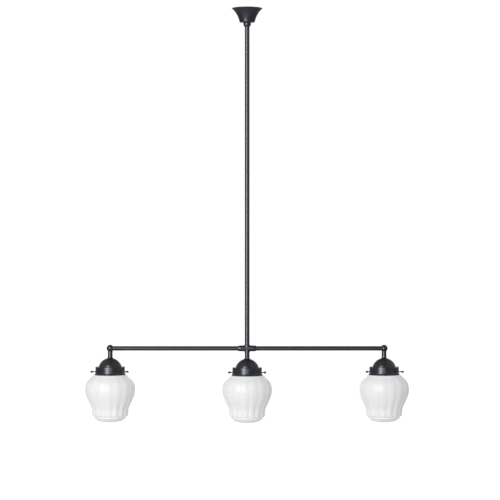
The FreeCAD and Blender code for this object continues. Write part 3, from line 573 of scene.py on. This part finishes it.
def mesh_piece(name, vertices, faces, sharp=40.0):
    """A smooth-shaded mesh object with the points that lie on one spot joined."""
    mesh = bpy.data.meshes.new(name)
    mesh.from_pydata(vertices, [], faces)
    weld = bmesh.new()
    weld.from_mesh(mesh)
    bmesh.ops.remove_doubles(weld, verts=weld.verts, dist=WELD * MM)
    weld.to_mesh(mesh)
    weld.free()
    mesh.validate()
    piece = bpy.data.objects.new(name, mesh)
    bpy.context.scene.collection.objects.link(piece)
    shade_smooth(piece, sharp)
    return piece


def turned(name, outline, place, segments=96, ridges=None):
    """A closed outline in millimetres spun about the local Z axis; ridges is (count, depth, from, to)."""
    vertices = []
    for step in range(segments):
        angle = 2 * math.pi * step / segments
        for across, up in outline:
            radius = across
            if ridges and ridges[2] <= up <= ridges[3]:
                radius -= ridges[1] * (1 - math.cos(ridges[0] * angle)) / 2
            point = Vector((radius * math.cos(angle), radius * math.sin(angle), up)) * MM
            vertices.append(place @ point)
    count = len(outline)
    faces = []
    for step in range(segments):
        here = step * count
        there = (step + 1) % segments * count
        for index in range(count):
            after = (index + 1) % count
            if outline[index][0] < HAIR and outline[after][0] < HAIR:
                continue
            faces.append((here + index, there + index, there + after, here + after))
    return mesh_piece(name, vertices, faces)


def reshaped(piece):
    """Settles the modifiers of a piece into its mesh."""
    graph = bpy.context.evaluated_depsgraph_get()
    piece.data = bpy.data.meshes.new_from_object(piece.evaluated_get(graph))
    piece.modifiers.clear()


def drilled(piece, tools):
    """Cuts the tools out of a piece and throws them away."""
    piece.modifiers.clear()
    for tool in tools:
        hole = piece.modifiers.new("drilled", "BOOLEAN")
        hole.operation = "DIFFERENCE"
        hole.solver = "EXACT"
        hole.object = tool
    reshaped(piece)
    for tool in tools:
        bpy.data.objects.remove(tool)
    shade_smooth(piece, 40.0)


def rod_tool(radius, low, high, place):
    """A plain round bar to cut with."""
    outline = [(0.0, low), (radius, low), (radius, high), (0.0, high)]
    return turned("drill", outline, place, segments=32)


def cast(name, parts):
    """Closed parts melted into one casting, with soft fillets where they meet."""
    vertices = []
    faces = []
    for part in parts:
        start = len(vertices)
        vertices += [tuple(vertex.co) for vertex in part.data.vertices]
        faces += [tuple(start + corner for corner in face.vertices) for face in part.data.polygons]
        bpy.data.objects.remove(part)
    piece = mesh_piece(name, vertices, faces)
    piece.modifiers.clear()
    melt = piece.modifiers.new("melt", "REMESH")
    melt.mode = "VOXEL"
    melt.voxel_size = CAST_GRAIN * MM
    ease = piece.modifiers.new("ease", "SMOOTH")
    ease.factor = 0.5
    ease.iterations = CAST_EASING
    reshaped(piece)
    return piece


# ---------------------------------------------------------------- the metal pieces


def make_cup():
    """The spun ceiling cup: a trumpet flare with a rolled rim and a rounded foot."""
    low, high, middle = box_of("ceiling_cup")
    waist, corner = CUP_WAIST
    roll_across = (high.x - low.x) / 2 / MM - RIM_ROLL
    roll_up = (high.z - low.z) / MM - RIM_ROLL

    def beside_roll(shares):
        return roll_across - RIM_ROLL * shares[0], roll_up - RIM_ROLL * shares[1]

    rolled_rim = []
    for degrees in ROLL_TURNS:
        turn = math.radians(degrees)
        rolled_rim.append((roll_across + RIM_ROLL * math.cos(turn), roll_up + RIM_ROLL * math.sin(turn)))
    inner_waist = (waist - CUP_WALL, corner)
    outline = [(CUP_HOLE, CUP_HOLE_EDGE), (CUP_HOLE + CUP_HOLE_EDGE, 0.0)]
    outline += arc((waist - corner, 0.0), (waist, corner), corner, LEFT, steps=8)
    outline += arc((waist, corner), beside_roll(OUTSIDE_MEETS_ROLL), CUP_FLARE, RIGHT, steps=28)[1:]
    outline += rolled_rim
    outline += arc(beside_roll(INSIDE_MEETS_ROLL), inner_waist, CUP_FLARE + CUP_WALL, LEFT, steps=28)
    outline += arc(inner_waist, (waist - corner, CUP_WALL), corner - CUP_WALL, RIGHT, steps=6)[1:]
    outline += [(CUP_HOLE, CUP_WALL)]
    cup = turned("spun_ceiling_cup", outline, at(middle.x, middle.y, low.z), segments=160)
    settle(cup, "black_metal", "cup", "ceiling_cup")


def make_stop_collar():
    """The turned collar under the cup, with its grub screw hole at the back."""
    low, high, middle = box_of("cup_stop_collar")
    rim = (high.x - low.x) / 2 / MM
    height = (high.z - low.z) / MM
    rim_edge, shoulder_edge, foot_edge = COLLAR_EDGES
    outline = rounded([
        (ROD + ROD_PLAY, height, 0.0),
        (rim, height, rim_edge),
        (rim, COLLAR_TAPER, shoulder_edge),
        (ROD + COLLAR_FOOT, 0.0, foot_edge),
        (ROD + ROD_PLAY, 0.0, 0.0),
    ])
    collar = turned("turned_stop_collar", outline, at(middle.x, middle.y, low.z))
    screw_low, screw_high, screw_middle = box_of("cup_stop_screw")
    screw_radius = (screw_high.z - screw_low.z) / 2 / MM + ROD_PLAY
    backwards = facing(at(screw_middle.x, 0.0, screw_middle.z), 90.0)
    drilled(collar, [rod_tool(screw_radius, 0.0, rim + 2 * CUT_PAST, backwards)])
    settle(collar, "black_metal", "stop_collar", "cup_stop_collar")


def make_cross():
    """The four-way cross: a cast body with tapered ends and two bosses, bored for the arms and nipples."""
    low, high, middle = box_of("cross_fitting")
    half = (high.x - low.x) / 2 / MM
    reach = (high.z - low.z) / 2 / MM
    body, end, taper = CROSS_BODY
    end_edge, body_edge, boss_edge = CROSS_EDGES
    upright = at(*middle)
    lying = facing(upright, 0.0)
    body_outline = rounded([
        (0.0, -half, 0.0),
        (end, -half, end_edge),
        (body, taper - half, body_edge),
        (body, half - taper, body_edge),
        (end, half, end_edge),
        (0.0, half, 0.0),
    ])
    boss_outline = rounded([
        (0.0, -reach, 0.0),
        (CROSS_BOSS, -reach, boss_edge),
        (CROSS_BOSS, reach, boss_edge),
        (0.0, reach, 0.0),
    ])
    casting = cast("cast_cross", [
        turned("body", body_outline, lying, segments=64),
        turned("bosses", boss_outline, upright, segments=64),
    ])
    drilled(casting, [
        rod_tool(ARM, -half - CUT_PAST, half + CUT_PAST, lying),
        rod_tool(THREAD, -reach - CUT_PAST, reach + CUT_PAST, upright),
    ])
    settle(casting, "black_metal", "fixture", "cross_fitting")


def make_ball(side, arm_direction):
    """A ball elbow, cast solid and bored for its arm and its stem."""
    low, high, middle = box_of(f"{side}_ball_elbow")
    radius = max(high.z - low.z, high.y - low.y) / 2 / MM
    seat = radius * BALL_SEAT
    upright = at(box_of(f"{side}_stem")[2].x, middle.y, BAR_LEVEL)
    lying = facing(upright, arm_direction)
    half_circle = arc((0.0, -radius), (0.0, radius), radius + HAIR, LEFT, steps=40)
    ball = turned(f"{side}_cast_ball", half_circle, upright, segments=80)
    drilled(ball, [
        rod_tool(ARM, seat, radius + CUT_PAST, lying),
        rod_tool(ROD, -radius - CUT_PAST, -seat, upright),
        rod_tool(THREAD, 0.0, radius, lying),
        rod_tool(THREAD - SEAT_PLAY, -radius, 0.0, upright),
    ])
    settle(ball, "black_metal", "fixture", f"{side}_ball_elbow")


def make_dome(side):
    """The spun dome cap, with the raised seat that the stem stands on."""
    low, _, middle = box_of(f"{side}_dome_cap")
    top = box_of(f"{side}_stem")[0].z
    foot = (top - low.z) / MM
    inner = DOME_SPHERE - DOME_WALL
    seat, rise = SEAT
    hole = ROD + SEAT_PLAY

    def on_sphere(sphere, down):
        return math.sqrt(sphere * sphere - (DOME_SPHERE - down) ** 2), -down

    outside = (on_sphere(DOME_SPHERE, DOME_SHOULDER), on_sphere(DOME_SPHERE, foot))
    inside = (on_sphere(inner, foot), on_sphere(inner, DOME_INNER_SHOULDER))
    outline = [(hole, rise), (seat - SEAT_EDGE, rise), (seat, rise - SEAT_EDGE), (seat, 0.0)]
    outline += arc(*outside, DOME_SPHERE, RIGHT, steps=32)
    outline += arc(*inside, inner, LEFT, steps=24)
    outline += [(THREAD, -DOME_FLAT_TOP), (THREAD, -STEM_SOCKET), (hole, -STEM_SOCKET)]
    dome = turned(f"{side}_spun_dome", outline, at(middle.x, middle.y, top), segments=128)
    settle(dome, "black_metal", "fixture", f"{side}_dome_cap")


def make_holder(side):
    """The shade holder: a plate with a rounded edge and a skirt that flares to its lip."""
    low, high, middle = box_of(f"{side}_shade_holder")
    lip = (high.x - low.x) / 2 / MM
    height = (high.z - low.z) / MM
    flare, lip_height = LIP
    skirt = lip - flare
    plate_edge, flare_edge, lip_edge = HOLDER_EDGES
    inner_flare_edge, inner_plate_edge = HOLDER_INNER_EDGES
    outline = rounded([
        (THREAD, height, 0.0),
        (skirt, height, plate_edge),
        (skirt, lip_height, flare_edge),
        (lip, 0.0, lip_edge),
        (lip - HOLDER_WALL, 0.0, lip_edge),
        (skirt - HOLDER_WALL, lip_height, inner_flare_edge),
        (skirt - HOLDER_WALL, height - HOLDER_WALL, inner_plate_edge),
        (THREAD, height - HOLDER_WALL, 0.0),
    ])
    holder = turned(f"{side}_spun_holder", outline, at(middle.x, middle.y, low.z), segments=144)
    screw_level = box_of(f"{side}_thumb_screw_back")[2].z
    centre = at(middle.x, middle.y, screw_level)
    inwards, outwards = SCREW_HOLE_CUT
    drilled(holder, [
        rod_tool(SCREW_HOLE, skirt - inwards, lip + outwards, facing(centre, angle))
        for angle in SCREW_ANGLES.values()
    ])
    settle(holder, "black_metal", "fixture", f"{side}_shade_holder")


def screw_outline(tip, reach):
    """A thumb screw's outline from its tip to the top of its head: thread, collar and head."""
    head, length = SCREW_HEAD
    collar, collar_length = SCREW_COLLAR
    shoulder = reach - length
    core = SCREW - THREAD_DEPTH
    outline = [(0.0, tip), (core - TIP_CHAMFER, tip)]
    for turn in range(int((shoulder - THREAD_RUN_OUT - tip) / SCREW_PITCH)):
        start = tip + THREAD_START + turn * SCREW_PITCH
        outline.append((core, start))
        outline += [(SCREW, start + SCREW_PITCH * share) for share in THREAD_CREST]
    outline += [(core, shoulder - collar_length - COLLAR_NECK), (collar, shoulder - collar_length)]
    outline += [(collar, shoulder), (head - HEAD_EDGE, shoulder), (head, shoulder + HEAD_EDGE)]
    share, rise = HEAD_DOME
    outline += [(head, reach - HEAD_EDGE - rise), (head - HEAD_EDGE, reach - rise)]
    outline += [(head * share, reach), (0.0, reach)]
    return outline


def make_screw(side, name):
    """A thumb screw with a cut thread and a straight-knurled head."""
    low, high, middle = box_of(f"{side}_thumb_screw_back")
    axis = box_of(f"{side}_shade_holder")[2]
    tip = (low.y - axis.y) / MM
    reach = (high.y - axis.y) / MM
    knurls = (*KNURLS, reach - SCREW_HEAD[1] + HEAD_EDGE / 2, reach - HEAD_EDGE)
    place = facing(at(axis.x, axis.y, middle.z), SCREW_ANGLES[name])
    outline = screw_outline(tip, reach)
    screw = turned(f"{side}_knurled_screw_{name}", outline, place, segments=72, ridges=knurls)
    node = f"{side}_thumb_screw_{name}"
    settle(screw, "black_metal", node, node)


# ---------------------------------------------------------------- the shades


def lobe_wave(angle):
    """0 on a lobe's crest and nearly 1 in the narrow valley between two lobes."""
    crest = math.cos(LOBES * angle / 2) ** 2
    return 1.0 - math.sqrt(crest + LOBE_SOFTNESS) / math.sqrt(1.0 + LOBE_SOFTNESS)


def shade_outside():
    """The outside from the top of the neck to the foot, as rows of (radius, height, lobe depth)."""
    levels = (*SHADE_NECK, *smooth_rows(SHADE_LEVELS, LEVEL_ROWS), *FOOT_RING)
    rows = [(radius, -depth, lobe) for depth, radius, lobe in levels]
    crease, across = FOOT_RING[-1][:2]
    for degrees in CROWN_TURNS:
        turn = math.radians(degrees)
        rows.append((across * math.cos(turn), -crease - (CROWN - crease) * math.sin(turn), 0.0))
    return rows


def shade_inside(outside):
    """The inside of the wall, with a row for every third row of the outside."""
    rows = []
    for index in range(0, len(outside), INNER_ROW_STEP):
        radius, height, lobe = outside[index]
        if height > 0.0:
            rows.append((NECK_BORE, height, lobe * INNER_LOBES))
            continue
        before = outside[index - 1]
        after = outside[min(index + 1, len(outside) - 1)]
        way = Vector((after[0] - before[0], after[1] - before[1])).normalized()
        rows.append((max(radius + way.y * GLASS, POLE), height - way.x * GLASS, lobe * INNER_LOBES))
    return rows


def band(upper, lower):
    """The quads between two rings of points."""
    quads = []
    for step in range(SHADE_SEGMENTS):
        following = (step + 1) % SHADE_SEGMENTS
        quads.append((upper + step, lower + step, lower + following, upper + following))
    return quads


def fan(ring, tip):
    """The triangles that close a ring at its tip."""
    return [(ring + step, tip, ring + (step + 1) % SHADE_SEGMENTS) for step in range(SHADE_SEGMENTS)]


def make_shade(side):
    """One fluted opal shade with a real wall, hung in its holder."""
    lip = box_of(f"{side}_shade_holder")[0].z
    middle = box_of(f"{side}_shade_holder")[2]
    outside = shade_outside()
    inside = shade_inside(outside)
    vertices = []
    for radius, height, lobe in outside + inside:
        for step in range(SHADE_SEGMENTS):
            angle = 2 * math.pi * step / SHADE_SEGMENTS
            reach = (radius - lobe * lobe_wave(angle)) * MM
            heading = angle - math.pi / 2 + math.radians(LOBE_TURN[side])
            x = middle.x + reach * math.cos(heading)
            y = middle.y + reach * math.sin(heading)
            vertices.append((x, y, lip + height * MM))
    outer_rings = [row * SHADE_SEGMENTS for row in range(len(outside))]
    inner_rings = [len(outside) * SHADE_SEGMENTS + row * SHADE_SEGMENTS for row in range(len(inside))]
    outer_tip = len(vertices)
    vertices.append((middle.x, middle.y, lip - CROWN * MM))
    vertices.append((middle.x, middle.y, lip - (CROWN - GLASS) * MM))
    outer_faces = []
    inner_faces = []
    for upper, lower in zip(outer_rings, outer_rings[1:]):
        outer_faces += band(upper, lower)
    for upper, lower in zip(inner_rings, inner_rings[1:]):
        inner_faces += band(upper, lower)
    outer_faces += band(inner_rings[0], outer_rings[0]) + fan(outer_rings[-1], outer_tip)
    inner_faces += fan(inner_rings[-1], outer_tip + 1)
    faces = outer_faces + [face[::-1] for face in inner_faces]
    shade = mesh_piece(f"{side}_fluted_shade", vertices, faces, 60.0)
    settle(shade, "opal_glass", "fixture", f"{side}_shade")


# ---------------------------------------------------------------- studio


def make_floor():
    """A pale floor far below, which lights the lamp from under it but isn't seen by the camera."""
    spot = (0, 0, BAR_LEVEL - FLOOR_DROP)
    bpy.ops.mesh.primitive_grid_add(x_subdivisions=2, y_subdivisions=2, size=FLOOR_SIZE, location=spot)
    floor = bpy.context.object
    floor.name = "studio_floor"
    finish = Finish("studio_floor_paint", Roughness=0.95, Specular_IOR_Level=0.0)
    finish.shader.inputs["Base Color"].default_value = (FLOOR_TONE, FLOOR_TONE, FLOOR_TONE, 1.0)
    floor.data.materials.append(finish.material)
    floor.visible_camera = False


def make_softbox(name, azimuth, height, distance, width, tall, power):
    """A softbox that looks at the bar's middle."""
    light = bpy.data.lights.new(name, "AREA")
    light.shape = "RECTANGLE"
    light.size = width
    light.size_y = tall
    light.energy = power
    softbox = bpy.data.objects.new(name, light)
    bpy.context.scene.collection.objects.link(softbox)
    heading = math.radians(azimuth)
    softbox.location = (-distance * math.sin(heading), -distance * math.cos(heading), BAR_LEVEL + height)
    aim = Vector((0, 0, BAR_LEVEL)) - softbox.location
    softbox.rotation_euler = aim.to_track_quat("-Z", "Y").to_euler()


def make_surround():
    """A dim room, lighter at its sides; the camera itself sees a white backdrop."""
    world = bpy.data.worlds.new("studio_surround")
    bpy.context.scene.world = world
    world.use_nodes = True
    tree = world.node_tree
    direction = add(tree, "ShaderNodeTexCoord")
    parts = add(tree, "ShaderNodeSeparateXYZ")
    tree.links.new(direction.outputs["Generated"], parts.inputs[0])
    total = None
    for axis, *values in SURROUND:
        ramp = add(tree, "ShaderNodeMapRange", interpolation_type="SMOOTHSTEP")
        for label, value in zip(("From Min", "From Max", "To Min", "To Max"), values):
            ramp.inputs[label].default_value = value
        tree.links.new(parts.outputs[axis], ramp.inputs["Value"])
        if total is None:
            total = ramp.outputs[0]
            continue
        plus = add(tree, "ShaderNodeMath", operation="ADD")
        tree.links.new(total, plus.inputs[0])
        tree.links.new(ramp.outputs[0], plus.inputs[1])
        total = plus.outputs[0]
    surround = tree.nodes["Background"]
    backdrop = add(tree, "ShaderNodeBackground")
    backdrop.inputs["Strength"].default_value = BACKDROP_LIGHT
    for background in (surround, backdrop):
        background.inputs["Color"].default_value = (1.0, 1.0, 1.0, 1.0)
    path = add(tree, "ShaderNodeLightPath")
    mix = add(tree, "ShaderNodeMixShader")
    tree.links.new(total, surround.inputs["Strength"])
    tree.links.new(path.outputs["Is Camera Ray"], mix.inputs[0])
    tree.links.new(surround.outputs[0], mix.inputs[1])
    tree.links.new(backdrop.outputs[0], mix.inputs[2])
    tree.links.new(mix.outputs[0], tree.nodes["World Output"].inputs[0])


def make_camera():
    """The photograph's view: level, from far off, a little to the right of the rod."""
    camera = bpy.data.cameras.new("photo_camera")
    camera.sensor_width = SENSOR
    camera.lens = SENSOR * CAMERA_DISTANCE / FRAME_WIDTH
    camera.clip_end = 200.0
    holder = bpy.data.objects.new("photo_camera", camera)
    bpy.context.scene.collection.objects.link(holder)
    holder.location = (CAMERA_X, -CAMERA_DISTANCE, BAR_LEVEL + CAMERA_ABOVE_BAR)
    holder.rotation_euler = (math.pi / 2, 0, 0)
    bpy.context.scene.camera = holder


# ---------------------------------------------------------------- the lamp and its picture

dress_frame()
make_cup()
make_stop_collar()
make_cross()
make_ball("left", 0.0)
make_ball("right", 180.0)
for side_name in SIDES:
    make_dome(side_name)
    make_holder(side_name)
    make_shade(side_name)
    for screw_name in SCREW_ANGLES:
        make_screw(side_name, screw_name)
make_floor()
make_surround()
for softbox_values in SOFTBOXES:
    make_softbox(*softbox_values)
make_camera()
bpy.context.scene.view_settings.view_transform = "Standard"
